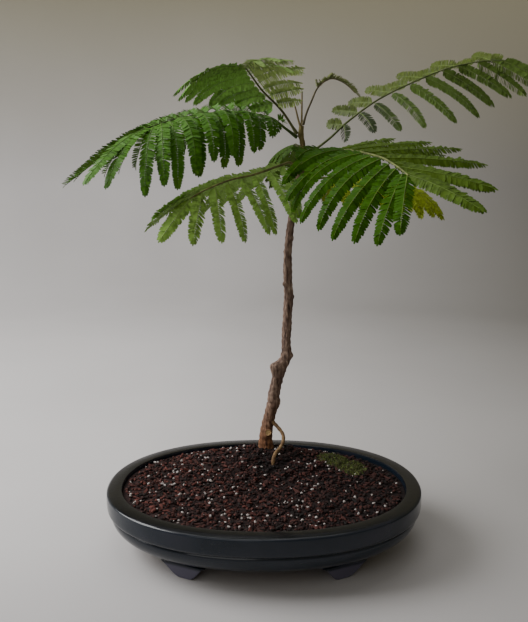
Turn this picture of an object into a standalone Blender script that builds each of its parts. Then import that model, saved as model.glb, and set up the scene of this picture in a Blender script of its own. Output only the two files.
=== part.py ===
"""Royal poinciana bonsai in an oval glazed pot, modelled in metres with +Z up.

The pot's centre on the table is the drawing origin while the pieces are made. The last step moves
everything so that the origin lies under the middle of the whole plant, on the table.
"""
import math

import bmesh
import bpy
from mathutils import Matrix, Vector

UP = Vector((0, 0, 1))
GAP = 0.0003  # clearance between pieces that rest on each other
WELL_HEIGHT = 0.060  # cutters that sink a hole into the soil are this tall
FLATS = 1.02  # how much a many-sided hole is widened so that its flats clear a round bar
CURVE_STEPS = 30  # straight pieces between two points of a smooth curve

# Pot
POT_HALF_LENGTH = 0.155
POT_HALF_WIDTH = 0.118
POT_HEIGHT = 0.058
PLAN_POWER = 2.15  # 2 is an ellipse, more is squarer
POT_SIDES = 36
BASE_Z = 0.012
FLOOR_Z = 0.0205
DRAIN_RADIUS = 0.008
DRAIN_DEPTH = 0.020
DRAIN_X = 0.05
FOOT_X = 0.069
FOOT_Y = 0.0745
FOOT_DEPTH = 0.015
FOOT_TURN = math.radians(24)
# (inset from the rim's outline, height) down the outside: lip, groove, belly, bead and foot ring
POT_OUTSIDE = [
    (0.0025, POT_HEIGHT), (0.0006, 0.0570), (0, 0.0550), (0, 0.0435), (0.0016, 0.0402),
    (0.0046, 0.0390), (0.0034, 0.0364), (0.0045, 0.0310), (0.0076, 0.0258), (0.0140, 0.0206),
    (0.0246, 0.0163), (0.0256, 0.0146), (0.0284, 0.0138), (0.0286, BASE_Z),
]
# and down the inside, from the lip to the floor
POT_INSIDE = [
    (0.0128, POT_HEIGHT), (0.0148, 0.0570), (0.0153, 0.0480), (0.0150, 0.0360), (0.0200, 0.0265),
    (0.0300, 0.0215), (0.0360, FLOOR_Z),
]
# A foot's outline, seen from the front: (along the rim towards the pot's end, height)
FOOT_OUTLINE = [
    (-0.0210, 0.0140), (-0.0165, 0.0110), (-0.0125, 0.0060), (-0.0090, 0.0020), (-0.0050, 0),
    (0.0045, 0), (0.0095, 0.0014), (0.0145, 0.0048), (0.0190, 0.0088), (0.0240, 0.0122),
    (0.0250, 0.0140),
]

# Screens over the drain holes
SCREEN_SIDE = 0.024
SCREEN_CELLS = 5
SCREEN_THICK = 0.001

# Soil
SOIL_EDGE_Z = 0.0540
SOIL_TILT = 0.0014
MOUND_HEIGHT = 0.0120
MOUND_SPREAD = (0.055, 0.035)
SOIL_RELIEF = 0.0007
SOIL_WAVES = (170, 210, 330, 260)  # how closely the bumps follow each other, in radians a metre
SOIL_BORDER = 0.25  # the bumps and the heap fade out over this share of the way to the wall
SOIL_RINGS = (0.88, 0.68, 0.46, 0.22)

# Moss mat
MOSS_CENTRE = Vector((0.084, 0.047))
MOSS_MEAN_RADIUS = 0.0215
MOSS_WAIST = 0.0095
MOSS_WAVE = 0.0012
MOSS_THICK = 0.0030
MOSS_LUMPS = (0.0011, 0.0006)
MOSS_WAVES = (520, 480, 900, 700)
MOSS_TURN = math.radians(45)
MOSS_BED_Z = 0.0528
MOSS_BED_DEPTH = 0.02
MOSS_SIDES = 24
MOSS_RINGS = (0.88, 0.66, 0.42, 0.18)

# Trunk: its route from the buried stub to the fork, with the radius at each point
TRUNK_ROUTE = [
    ((0.0020, 0.0755, 0.0360), 0.0080), ((0.0020, 0.0755, 0.0500), 0.0086),
    ((0.0020, 0.0755, 0.0640), 0.0086), ((0.0022, 0.0755, 0.0730), 0.0074),
    ((0.0030, 0.0752, 0.0850), 0.0067), ((0.0068, 0.0745, 0.1030), 0.0063),
    ((0.0098, 0.0738, 0.1160), 0.0066), ((0.0104, 0.0735, 0.1250), 0.0063),
    ((0.0138, 0.0735, 0.1420), 0.0060), ((0.0172, 0.0742, 0.1545), 0.0068),
    ((0.0225, 0.0760, 0.1640), 0.0060), ((0.0243, 0.0775, 0.1720), 0.0054),
    ((0.0242, 0.0785, 0.1830), 0.0049), ((0.0248, 0.0792, 0.1980), 0.0051),
    ((0.0254, 0.0795, 0.2150), 0.0048), ((0.0262, 0.0792, 0.2320), 0.0050),
    ((0.0255, 0.0786, 0.2460), 0.0046), ((0.0250, 0.0780, 0.2620), 0.0047),
    ((0.0254, 0.0775, 0.2800), 0.0041), ((0.0268, 0.0770, 0.2980), 0.0040),
    ((0.0290, 0.0764, 0.3160), 0.0038), ((0.0322, 0.0756, 0.3350), 0.0037),
    ((0.0358, 0.0748, 0.3540), 0.0036), ((0.0390, 0.0742, 0.3720), 0.0033),
    ((0.0400, 0.0736, 0.3870), 0.0028), ((0.0382, 0.0724, 0.3990), 0.0025),
    ((0.0380, 0.0716, 0.4090), 0.0022),
]
TRUNK_BEVEL = 2
TRUNK_FLUTES = 0.05  # bark relief, as a share of the radius: round the trunk and up it
TRUNK_WAVES = 0.04
FLUTE_COUNT = 3
FLUTE_TWIST = 60  # radians a metre, as are the waves
WAVE_RATE = 900
RELIEF_FROM_Z = 0.070  # the trunk is round and plain below this, where it stands in its hole
# Swellings left by old leaves: (centre, radius, height as a share of the radius)
KNOBS = [
    ((0.0122, 0.0725, 0.1560), 0.0062, 0.95), ((0.0130, 0.0715, 0.1170), 0.0050, 0.8),
    ((0.0275, 0.0765, 0.1690), 0.0042, 1.0), ((0.0282, 0.0770, 0.2320), 0.0034, 1.1),
    ((0.0225, 0.0765, 0.2470), 0.0030, 1.1), ((0.0285, 0.0745, 0.2960), 0.0028, 1.0),
]
SCAR_CENTRE = Vector((0.0045, 0.0690, 0.0840))  # stump of a cut branch, facing the front
SCAR_RADIUS = 0.0036
SCAR_FLARE = 1.2
SCAR_STAND = Vector((0, -0.0022, 0.0008))
# A root that leaves the trunk above the soil, arches forward and goes down into it
AIR_ROOT = [
    (0.0085, 0.0720, 0.0960), (0.0150, 0.0680, 0.0905), (0.0205, 0.0630, 0.0840), (0.0205, 0.0580, 0.0775),
    (0.0170, 0.0530, 0.0720), (0.0125, 0.0460, 0.0695), (0.0100, 0.0405, 0.0650), (0.0100, 0.0390, 0.0580),
    (0.0100, 0.0390, 0.0480),
]
AIR_ROOT_RADIUS = 0.0019
YOUNG_SHOOTS = [
    [(0.0380, 0.0716, 0.4050), (0.0350, 0.0745, 0.4150), (0.0325, 0.0758, 0.4250), (0.0303, 0.0762, 0.4320)],
    [(0.0380, 0.0716, 0.4050), (0.0384, 0.0760, 0.4160), (0.0385, 0.0774, 0.4300), (0.0386, 0.0780, 0.4420)],
]
SHOOT_RADII = (0.0013, 0.0010, 0.0008, 0.0009)
CUSHION_RADIUS = 0.0019
CUSHION_TAPER = 0.85
CUSHION_NECK = 0.0012
CUSHION_ROOT = 0.002  # it starts on the trunk's centre line this much below the stalk

# Fronds. route: the stalk from the trunk to its tip. bare: the share of it with no side stalks (pinnae).
# Angles are in degrees, and where there are several they stand evenly from the first pair of pinnae to the
# last. left and right, looking outwards: between stalk and pinna. droop: how far a pinna bends down along
# its length. roof: both sides tilted down. roll: the right side down and the left up. length: a pinna's.
# turn: how far the blades turn about their own ribs, clockwise looking outwards, left and right.
FRONDS = {
    "frond_upper_left": dict(
        route=[(0.032, 0.068, 0.403), (0.017, 0.048, 0.422), (-0.001, 0.026, 0.437), (-0.011, 0.002, 0.447),
               (-0.016, -0.026, 0.450)],
        bare=0.36, pairs=9, left=(98, 57, 24), right=(84, 83, 41), left_droop=(5, 38, 30),
        right_droop=(15, 65, 57), roof=(-5, -13, -9), roll=(5, 3, 4), turn=(-30, 30),
        length=(0.028, 0.061, 0.078)),
    "frond_left": dict(
        route=[(0.032, 0.072, 0.399), (0.021, 0.071, 0.407), (0.006, 0.071, 0.417), (-0.024, 0.066, 0.422),
               (-0.049, 0.062, 0.421), (-0.082, 0.043, 0.414), (-0.113, 0.011, 0.401)],
        bare=0.13, pairs=15, left=(92, 99, 73, 12), right=(76, 92, 54),
        left_droop=(112, 112, 112, 26), right_droop=(105, 105, 6), roof=(-32, -14, 12), roll=(-25, -3, 10),
        turn=(0, 0), length=(0.012, 0.076, 0.078, 0.084, 0.096)),
    "frond_lower_left": dict(
        route=[(0.034, 0.066, 0.365), (0.026, 0.056, 0.372), (0.016, 0.040, 0.369), (-0.008, 0.005, 0.360),
               (-0.031, -0.033, 0.354), (-0.051, -0.067, 0.345), (-0.061, -0.076, 0.339)],
        bare=0.16, pairs=8, left=(54, 86, 16), right=(84, 56, 16), left_droop=(17, 22, 8),
        right_droop=(45, 55, 16), roof=(23, 31), roll=(-13, -38), turn=(16, 45),
        length=(0.066, 0.055, 0.045)),
    "frond_upper_right": dict(
        route=[(0.042, 0.079, 0.378), (0.070, 0.109, 0.399), (0.090, 0.124, 0.417), (0.126, 0.151, 0.443),
               (0.169, 0.171, 0.465), (0.213, 0.187, 0.483), (0.251, 0.188, 0.491), (0.276, 0.181, 0.491)],
        bare=0.24, pairs=11, left=(85, 80, 112), right=(130, 43, 23), left_droop=(11, 0, 5),
        right_droop=(28, 30, 5), roof=(-5, 30, 45), roll=(6, 32, 62), turn=(-50, 10),
        length=(0.027, 0.078, 0.062)),
    "frond_lower_right": dict(
        route=[(0.041, 0.066, 0.370), (0.054, 0.032, 0.379), (0.073, -0.013, 0.381), (0.092, -0.080, 0.373),
               (0.100, -0.115, 0.365), (0.104, -0.146, 0.357)],
        bare=0.12, pairs=12, left=(45, 87, 30), right=(40, 110, 22), left_droop=(6, 8, 15),
        right_droop=(30, 64, 12), roof=(-14, 22), roll=(-2, 18), turn=(30, -35),
        length=(0.058, 0.083, 0.066)),
    "frond_back_right": dict(
        route=[(0.038, 0.080, 0.355), (0.071, 0.103, 0.358), (0.110, 0.119, 0.358), (0.150, 0.137, 0.352),
               (0.167, 0.144, 0.347)],
        bare=0.30, pairs=7, left=(78, 65, 31), right=(78, 65, 31), left_droop=(52, 49, 40),
        right_droop=(52, 49, 40), roof=(20, 13), roll=(7, 2), turn=(0, 40), length=(0.042, 0.047, 0.050)),
    "frond_back": dict(
        route=[(0.037, 0.079, 0.382), (0.035, 0.100, 0.391), (0.033, 0.122, 0.393), (0.030, 0.146, 0.388),
               (0.028, 0.165, 0.381)],
        bare=0.26, pairs=8, left=(88, 65, 26), right=(88, 65, 26), left_droop=(50, 55, 40),
        right_droop=(50, 55, 40), roof=(12, 13), roll=(0, 0), turn=(0, 0), length=(0.030, 0.044, 0.046)),
    "frond_young": dict(
        route=[(0.0400, 0.0695, 0.4120), (0.043, 0.067, 0.422), (0.048, 0.063, 0.434), (0.052, 0.058, 0.443),
               (0.058, 0.054, 0.449), (0.066, 0.050, 0.452), (0.075, 0.047, 0.449), (0.082, 0.045, 0.444),
               (0.088, 0.044, 0.438)],
        bare=0.45, pairs=5, left=(40, 30, 18), right=(40, 30, 18), left_droop=(20, 20, 20),
        right_droop=(20, 20, 20), roof=(-45, -45), roll=(0, 0), turn=(0, 0),
        length=(0.009, 0.009, 0.007)),
}
CROWDING = 1.2  # above 1, pairs stand closer towards the tip
ROUTE_STEPS = 120
PINNA_STEPS = 24
STALK_RADIUS = (0.0014, 0.0006)
STALK_POINTS = 13
LEAFLET_REACH = 0.0068
LEAFLET_LEAN = 0.0025
LEAFLET_FOLD = math.radians(10)
LEAFLET_PITCH = 0.0195
LEAFLET_TIP_SHIFT = 0.3  # a leaflet's tip stands this share of its base past the middle
END_LEAFLET_SHARE = 0.7
BLADE_THICK = 0.0008
RIB_HALF = 0.0008
BARE_FOOT = 0.0035
YOUNG_LEAFLET_REACH = 0.0022
WOBBLE = math.radians(3)  # how unevenly pinnae point, and below, how unevenly they droop
DROOP_WOBBLE = 0.1
WOBBLE_STEPS = (2.4, 3.1)  # radians from one pair to the next
LAYERING = math.radians(3)  # every other pinna stands this much higher or lower than its neighbours
CLOSE_SHARE = 0.4  # leaflets are short over this share of a pinna, where pinnae stand close
CLOSE_REACH = 0.45
TIP_NARROWING = 0.45


def clear_scene():
    for thing in list(bpy.data.objects):
        bpy.data.objects.remove(thing, do_unlink=True)


def linear(channel):
    """A colour channel from 0-255 display value to Blender's linear value."""
    c = channel / 255
    return c / 12.92 if c <= 0.04045 else ((c + 0.055) / 1.055) ** 2.4


def material(name, colour, roughness, metallic=0.0):
    mat = bpy.data.materials.new(name)
    mat.use_nodes = True
    shader = mat.node_tree.nodes["Principled BSDF"]
    shader.inputs["Base Color"].default_value = (*(linear(c) for c in colour), 1)
    shader.inputs["Roughness"].default_value = roughness
    shader.inputs["Metallic"].default_value = metallic
    return mat


def put(name, bm, parts, mat=None):
    """Makes an object of a bmesh, closed and facing out."""
    bmesh.ops.recalc_face_normals(bm, faces=bm.faces)
    mesh = bpy.data.meshes.new(name)
    bm.to_mesh(mesh)
    bm.free()
    return put_mesh(name, mesh, parts, mat)


def put_mesh(name, mesh, parts, mat=None):
    thing = bpy.data.objects.new(name, mesh)
    parts.objects.link(thing)
    if mat:
        mesh.materials.append(mat)
    return thing


def baked(thing):
    """The object's mesh with its modifiers applied."""
    graph = bpy.context.evaluated_depsgraph_get()
    graph.update()
    return bpy.data.meshes.new_from_object(thing.evaluated_get(graph), depsgraph=graph)


def fuse(thing, others, solver="MANIFOLD"):
    """Joins the other objects to this one in one Boolean union and removes them."""
    group = bpy.data.collections.new(thing.name + "_joined")
    bpy.context.scene.collection.children.link(group)
    for other in others:
        for owner in list(other.users_collection):
            owner.objects.unlink(other)
        group.objects.link(other)
    join = thing.modifiers.new("join", "BOOLEAN")
    join.operation = "UNION"
    join.operand_type = "COLLECTION"
    join.collection = group
    join.solver = solver
    mesh = baked(thing)
    thing.modifiers.clear()
    thing.data = mesh
    for other in others:
        bpy.data.objects.remove(other, do_unlink=True)
    bpy.data.collections.remove(group)


def cut(thing, cutter):
    """Cuts a hidden cutter object out of this one with a Boolean that stays on it."""
    cutter.hide_render = True
    cutter.display_type = "WIRE"
    hole = thing.modifiers.new("cut_" + cutter.name, "BOOLEAN")
    hole.operation = "DIFFERENCE"
    hole.object = cutter


def smooth(thing, angle=40):
    thing.data.shade_smooth()
    thing.data.set_sharp_from_angle(angle=math.radians(angle))


def tube(name, points, radii, resolution, parts, mat=None):
    """A round bar along points with a radius at each, capped and closed."""
    curve = bpy.data.curves.new(name, "CURVE")
    curve.dimensions = "3D"
    curve.bevel_depth = 1.0
    curve.bevel_resolution = resolution
    curve.use_fill_caps = True
    curve.render_resolution_u = 0
    line = curve.splines.new("POLY")
    line.points.add(len(points) - 1)
    for spot, place, radius in zip(line.points, points, radii):
        spot.co = (*place, 1)
        spot.radius = radius
    guide = bpy.data.objects.new(name + "_line", curve)
    parts.objects.link(guide)
    mesh = baked(guide)
    bpy.data.objects.remove(guide, do_unlink=True)
    bm = bmesh.new()
    bm.from_mesh(mesh)
    bmesh.ops.remove_doubles(bm, verts=bm.verts, dist=1e-6)
    return put(name, bm, parts, mat)


def even_line(control, steps):
    """Points evenly spaced along a smooth curve through the control points."""
    pts = [Vector(p) for p in control]
    pts = [2 * pts[0] - pts[1], *pts, 2 * pts[-1] - pts[-2]]
    fine = []
    for a, b, c, d in zip(pts, pts[1:], pts[2:], pts[3:]):
        for k in range(CURVE_STEPS):
            t = k / CURVE_STEPS
            fine.append(0.5 * (2 * b + (c - a) * t + (2 * a - 5 * b + 4 * c - d) * t**2
                               + (3 * b - a - 3 * c + d) * t**3))
    fine.append(pts[-2])
    run = [0.0]
    for a, b in zip(fine, fine[1:]):
        run.append(run[-1] + (b - a).length)
    out, k = [], 0
    for i in range(steps + 1):
        want = run[-1] * i / steps
        while k < len(fine) - 2 and run[k + 1] < want:
            k += 1
        out.append(fine[k].lerp(fine[k + 1], (want - run[k]) / (run[k + 1] - run[k])))
    return out


def oval(inset, z, sides=POT_SIDES, scale=1.0):
    """Points round the pot's plan, moved in from the rim by inset and then scaled about the centre."""
    points = []
    for k in range(sides):
        t = 2 * math.pi * k / sides
        c, s = math.cos(t), math.sin(t)
        x = math.copysign(abs(c) ** (2 / PLAN_POWER), c) * (POT_HALF_LENGTH - inset) * scale
        y = math.copysign(abs(s) ** (2 / PLAN_POWER), s) * (POT_HALF_WIDTH - inset) * scale
        points.append(Vector((x, y, z)))
    return points


def loft(rings):
    """A closed bmesh through rings of points, with a flat face on the first and last ring."""
    bm = bmesh.new()
    loops = [[bm.verts.new(p) for p in ring] for ring in rings]
    for low, high in zip(loops, loops[1:]):
        for k in range(len(low)):
            j = (k + 1) % len(low)
            bm.faces.new((low[k], low[j], high[j], high[k]))
    bm.faces.new(reversed(loops[0]))
    bm.faces.new(loops[-1])
    return bm


def cylinder(name, centre, radius, depth, sides, parts):
    bpy.ops.mesh.primitive_cylinder_add(vertices=sides, radius=radius, depth=depth, location=centre)
    thing = bpy.context.object
    thing.name = name
    for owner in list(thing.users_collection):
        owner.objects.unlink(thing)
    parts.objects.link(thing)
    return thing


def foot(name, side_x, side_y, parts):
    """One bracket foot under the belly, its long wing pointing to the pot's end."""
    curve = bpy.data.curves.new(name, "CURVE")
    curve.dimensions = "2D"
    curve.fill_mode = "BOTH"
    curve.extrude = FOOT_DEPTH / 2
    curve.render_resolution_u = 0
    line = curve.splines.new("POLY")
    line.points.add(len(FOOT_OUTLINE) - 1)
    line.use_cyclic_u = True
    for spot, (u, z) in zip(line.points, FOOT_OUTLINE):
        spot.co = (u * side_x, z, 0, 1)
    guide = bpy.data.objects.new(name + "_line", curve)
    parts.objects.link(guide)
    mesh = baked(guide)
    bpy.data.objects.remove(guide, do_unlink=True)
    bm = bmesh.new()
    bm.from_mesh(mesh)
    bmesh.ops.remove_doubles(bm, verts=bm.verts, dist=1e-6)
    place = (Matrix.Translation((FOOT_X * side_x, FOOT_Y * side_y, 0))
             @ Matrix.Rotation(-FOOT_TURN * side_x * side_y, 4, "Z") @ Matrix.Rotation(math.pi / 2, 4, "X"))
    bmesh.ops.transform(bm, matrix=place, verts=bm.verts)
    return put(name, bm, parts)


def pot(parts, cutters, glaze):
    rings = [oval(*station) for station in reversed(POT_OUTSIDE)] + [oval(*station) for station in POT_INSIDE]
    shell = put("pot", loft(rings), parts, glaze)
    feet = [foot(f"foot_{i}", sx, sy, parts) for i, (sx, sy) in
            enumerate([(-1, -1), (1, -1), (-1, 1), (1, 1)])]
    fuse(shell, feet)
    for i, side in enumerate((-1, 1)):
        middle = (DRAIN_X * side, 0, (BASE_Z + FLOOR_Z) / 2)
        cut(shell, cylinder(f"drain_cutter_{i}", middle, DRAIN_RADIUS, DRAIN_DEPTH, 16, cutters))
    smooth(shell)


def screen(name, side, parts, plastic):
    """A square mesh laid over a drain hole."""
    bm = bmesh.new()
    bmesh.ops.create_grid(bm, x_segments=SCREEN_CELLS, y_segments=SCREEN_CELLS, size=SCREEN_SIDE / 2)
    cell = SCREEN_SIDE / SCREEN_CELLS
    gone = []
    for face in bm.faces:
        middle = face.calc_center_median()
        column = round((middle.x + SCREEN_SIDE / 2) / cell - 0.5)
        row = round((middle.y + SCREEN_SIDE / 2) / cell - 0.5)
        if column % 2 and row % 2:
            gone.append(face)
    bmesh.ops.delete(bm, geom=gone, context="FACES")
    thing = put(name, bm, parts, plastic)
    thing.location = (DRAIN_X * side, 0, FLOOR_Z + GAP)
    plate = thing.modifiers.new("plate", "SOLIDIFY")
    plate.thickness = SCREEN_THICK
    plate.offset = 1.0 if thing.data.polygons[0].normal.z > 0 else -1.0


def plan_share(x, y):
    """How far out a place lies in the pot's inside plan: 0 at the centre and 1 at the wall."""
    inset = POT_INSIDE[2][0]
    return ((abs(x) / (POT_HALF_LENGTH - inset)) ** PLAN_POWER
            + (abs(y) / (POT_HALF_WIDTH - inset)) ** PLAN_POWER) ** (1 / PLAN_POWER)


def soil_height(x, y):
    """The soil's surface: heaped round the trunk, a little higher at the front left, and uneven."""
    trunk = TRUNK_ROUTE[0][0]
    near = min(1.0, max(0.0, (1 - plan_share(x, y)) / SOIL_BORDER))
    near = near * near * (3 - 2 * near)
    heap = MOUND_HEIGHT * near * math.exp(
        -((x - trunk[0]) / MOUND_SPREAD[0]) ** 2 / 2 - ((y - trunk[1]) / MOUND_SPREAD[1]) ** 2 / 2)
    tilt = -SOIL_TILT * (x / POT_HALF_LENGTH + y / POT_HALF_WIDTH) / 2
    a, b, c, d = SOIL_WAVES
    bumps = SOIL_RELIEF * (math.sin(x * a + 1) * math.cos(y * b) + math.sin(x * c - y * d))
    return SOIL_EDGE_Z + heap + tilt + bumps * near


def moss_outline(share, spare=0.0):
    """Points round the mat: two lobes with a waist between them."""
    points = []
    for k in range(MOSS_SIDES):
        t = 2 * math.pi * k / MOSS_SIDES
        reach = (MOSS_MEAN_RADIUS + MOSS_WAIST * math.cos(2 * (t + MOSS_TURN))
                 + MOSS_WAVE * math.sin(5 * t)) * share + spare
        points.append(Vector((MOSS_CENTRE.x + reach * math.cos(t), MOSS_CENTRE.y + reach * math.sin(t), 0)))
    return points


def well(name, foot_of_bar, radius, sides, cutters):
    """A cutter for the hole round an upright bar, reaching just below the bar's end."""
    x, y, z = foot_of_bar
    return cylinder(name, (x, y, z - GAP + WELL_HEIGHT / 2), radius, WELL_HEIGHT, sides, cutters)


def soil(parts, cutters, earth):
    under = [(inset + GAP, z + GAP) for inset, z in reversed(POT_INSIDE[2:])]
    rings = [oval(inset + GAP, z) for inset, z in under]
    wall = POT_INSIDE[2][0] + 2 * GAP
    edge = oval(wall, 0)
    for share in (1.0, *SOIL_RINGS):
        ring = [Vector((p.x * share, p.y * share, 0)) for p in edge]
        rings.append([Vector((p.x, p.y, soil_height(p.x, p.y))) for p in ring])
    bed = put("soil", loft(rings), parts, earth)
    stub_radius = TRUNK_ROUTE[2][1] + GAP
    cut(bed, well("trunk_hole_cutter", TRUNK_ROUTE[0][0], stub_radius * FLATS, 16, cutters))
    cut(bed, well("root_hole_cutter", AIR_ROOT[-1], AIR_ROOT_RADIUS + 2 * GAP, 12, cutters))
    for i, side in enumerate((-1, 1)):
        bpy.ops.mesh.primitive_cube_add(size=1, location=(DRAIN_X * side, 0, FLOOR_Z))
        pocket = bpy.context.object
        pocket.name = f"screen_pocket_cutter_{i}"
        pocket.scale = (SCREEN_SIDE + 2 * GAP, SCREEN_SIDE + 2 * GAP, 2 * (SCREEN_THICK + 2 * GAP))
        for owner in list(pocket.users_collection):
            owner.objects.unlink(pocket)
        cutters.objects.link(pocket)
        cut(bed, pocket)
    low = [Vector((p.x, p.y, MOSS_BED_Z)) for p in moss_outline(1.0, GAP)]
    high = [Vector((p.x, p.y, MOSS_BED_Z + MOSS_BED_DEPTH)) for p in low]
    cut(bed, put("moss_bed_cutter", loft([low, high]), cutters))


def moss(parts, green):
    """A mat of low cushions bedded in the soil."""
    def top(p, rise):
        big, small = MOSS_LUMPS
        a, b, c, d = MOSS_WAVES
        lumps = big * math.sin(p.x * a) * math.cos(p.y * b) + small * math.sin(p.x * c + p.y * d)
        return Vector((p.x, p.y, soil_height(p.x, p.y) + rise + lumps))

    rings = [[Vector((p.x, p.y, MOSS_BED_Z + GAP)) for p in moss_outline(1.0)]]
    rings.append([top(p, GAP) for p in moss_outline(1.0)])
    for share in MOSS_RINGS:
        rings.append([top(p, MOSS_THICK * (1 - share**3)) for p in moss_outline(share)])
    smooth(put("moss", loft(rings), parts, green), 60)


def trunk_place(z):
    """The trunk's centre and radius at a height."""
    for (low, low_radius), (high, high_radius) in zip(TRUNK_ROUTE, TRUNK_ROUTE[1:]):
        if z <= high[2]:
            t = (z - low[2]) / (high[2] - low[2])
            return Vector(low).lerp(Vector(high), t), low_radius + (high_radius - low_radius) * t
    return Vector(TRUNK_ROUTE[-1][0]), TRUNK_ROUTE[-1][1]


def cushion(name, frond, parts):
    """The swelling on the trunk that a frond's stalk springs from, which ends just short of it."""
    start, following = even_line(frond["route"], STALK_POINTS - 1)[:2]
    along = (following - start).normalized()
    end = start - along * GAP
    centre, _ = trunk_place(end.z - CUSHION_ROOT)
    neck = end - along * CUSHION_NECK
    radii = (CUSHION_RADIUS, CUSHION_RADIUS, CUSHION_RADIUS * CUSHION_TAPER)
    return tube(name, [centre, neck, end], radii, 0, parts)


def trunk(parts, bark):
    points = [place for place, _ in TRUNK_ROUTE]
    radii = [radius for _, radius in TRUNK_ROUTE]
    stem = tube("trunk", points, radii, TRUNK_BEVEL, parts, bark)
    for vertex in stem.data.vertices:
        co = vertex.co
        if co.z > RELIEF_FROM_Z:
            centre, _ = trunk_place(co.z)
            out = Vector((co.x - centre.x, co.y - centre.y, 0))
            turn = math.atan2(out.y, out.x)
            flutes = TRUNK_FLUTES * math.sin(FLUTE_COUNT * turn + co.z * FLUTE_TWIST)
            vertex.co = co + out * (flutes + TRUNK_WAVES * math.sin(co.z * WAVE_RATE))
    others = []
    for i, (centre, radius, tall) in enumerate(KNOBS):
        bm = bmesh.new()
        bmesh.ops.create_icosphere(bm, subdivisions=1, radius=radius)
        place = Matrix.Translation(centre) @ Matrix.Diagonal((1, 1, tall, 1))
        bmesh.ops.transform(bm, matrix=place, verts=bm.verts)
        others.append(put(f"knob_{i}", bm, parts))
    inner, _ = trunk_place(SCAR_CENTRE.z)
    scar_radii = (SCAR_RADIUS * SCAR_FLARE, SCAR_RADIUS)
    others.append(tube("scar", [inner, SCAR_CENTRE + SCAR_STAND], scar_radii, 2, parts))
    others.append(tube("air_root", AIR_ROOT, [AIR_ROOT_RADIUS] * len(AIR_ROOT), 1, parts))
    for i, shoot in enumerate(YOUNG_SHOOTS):
        others.append(tube(f"shoot_{i}", shoot, SHOOT_RADII, 1, parts))
    for name, frond in FRONDS.items():
        others.append(cushion("cushion_" + name, frond, parts))
    fuse(stem, others)
    smooth(stem, 50)


def between(values, t):
    """A value at the share t of the way along evenly spaced values."""
    at = t * (len(values) - 1)
    k = min(int(at), len(values) - 2)
    return values[k] + (values[k + 1] - values[k]) * (at - k)


def turned(vector, axis, angle):
    return Matrix.Rotation(angle, 3, axis) @ vector


def pinna_frames(frond):
    """Yields each pinna's length, and its points with the directions along, across and out of its blade."""
    line = even_line(frond["route"], ROUTE_STEPS)
    for i in range(frond["pairs"]):
        t = i / (frond["pairs"] - 1)
        at = frond["bare"] + (1 - frond["bare"]) * (1 - (1 - t) ** CROWDING)
        k = min(round(at * ROUTE_STEPS), ROUTE_STEPS - 1)
        stalk = (line[min(k + 2, ROUTE_STEPS)] - line[max(k - 2, 0)]).normalized()
        for side, name in ((-1, "left"), (1, "right")):
            sweep = math.radians(between(frond[name], t)) + WOBBLE * math.sin(WOBBLE_STEPS[0] * i + side)
            uneven = 1 + DROOP_WOBBLE * math.sin(WOBBLE_STEPS[1] * i - side)
            droop = math.radians(between(frond[name + "_droop"], t)) * uneven
            roof = math.radians(between(frond["roof"], t)) + LAYERING * (-1) ** i
            length = between(frond["length"], t)
            out = turned(stalk.cross(UP).normalized() * side, stalk, math.radians(between(frond["roll"], t)))
            up = out.cross(stalk).normalized() * side
            along = stalk * math.cos(sweep) + (out * math.cos(roof) - up * math.sin(roof)) * math.sin(sweep)
            across = (stalk - along * stalk.dot(along)).normalized()
            across = turned(across, along, math.radians(frond["turn"][0 if side < 0 else 1]))
            hinge = UP.cross(Vector((along.x, along.y, 0))).normalized()
            place, frames = line[k].copy(), []
            for step in range(PINNA_STEPS + 1):
                angle = droop * step / PINNA_STEPS
                d, w = turned(along, hinge, angle), turned(across, hinge, angle)
                normal = d.cross(w) * -side
                frames.append((place.copy(), d, w, normal if normal.dot(up) > 0 else -normal))
                place += turned(along, hinge, droop * (step + 0.5) / PINNA_STEPS) * (length / PINNA_STEPS)
            yield length, frames


def frame_at(frames, share):
    at = min(max(share, 0.0), 1.0) * (len(frames) - 1)
    k = min(int(at), len(frames) - 2)
    return [a.lerp(b, at - k) for a, b in zip(frames[k], frames[k + 1])]


def pinna(name, length, frames, reach, parts):
    """A thin arched blade cut to its rib into leaflets that lean towards the tip."""
    leaflets = max(1, round((length - BARE_FOOT) / LEAFLET_PITCH))
    bm = bmesh.new()
    leafy = length - BARE_FOOT
    stations = [0.0] + [(BARE_FOOT + leafy * j / leaflets) / length for j in range(leaflets + 1)]
    edges = []
    for share in stations:
        place, _, across, _ = frame_at(frames, share)
        edges.append([bm.verts.new(place - across * RIB_HALF), bm.verts.new(place + across * RIB_HALF)])
    for j, (low, high) in enumerate(zip(edges, edges[1:])):
        bm.faces.new((low[0], low[1], high[1]))
        bm.faces.new((low[0], high[1], high[0]))
        if j == 0:
            continue
        middle = (stations[j] + stations[j + 1]) / 2
        tip_at = middle + LEAFLET_TIP_SHIFT * (stations[j + 1] - stations[j])
        place, along, across, out = frame_at(frames, tip_at)
        width = reach * (1 - TIP_NARROWING * middle**4)
        width *= min(1, CLOSE_REACH + (1 - CLOSE_REACH) * middle / CLOSE_SHARE)
        for side in (0, 1):
            sign = 2 * side - 1
            tip = place + (across * sign * math.cos(LEAFLET_FOLD) - out * math.sin(LEAFLET_FOLD)) * width
            tip = bm.verts.new(tip + along * LEAFLET_LEAN * width / LEAFLET_REACH)
            bm.faces.new((low[side], high[side], tip) if side == 0 else (high[side], low[side], tip))
    place, along, _, _ = frame_at(frames, 1.0)
    last = bm.verts.new(place + along * reach * END_LEAFLET_SHARE)
    bm.faces.new((edges[-1][0], edges[-1][1], last))
    thing = put(name, bm, parts)
    blade = thing.modifiers.new("blade", "SOLIDIFY")
    blade.thickness = BLADE_THICK
    blade.offset = 0.0
    return thing


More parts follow.
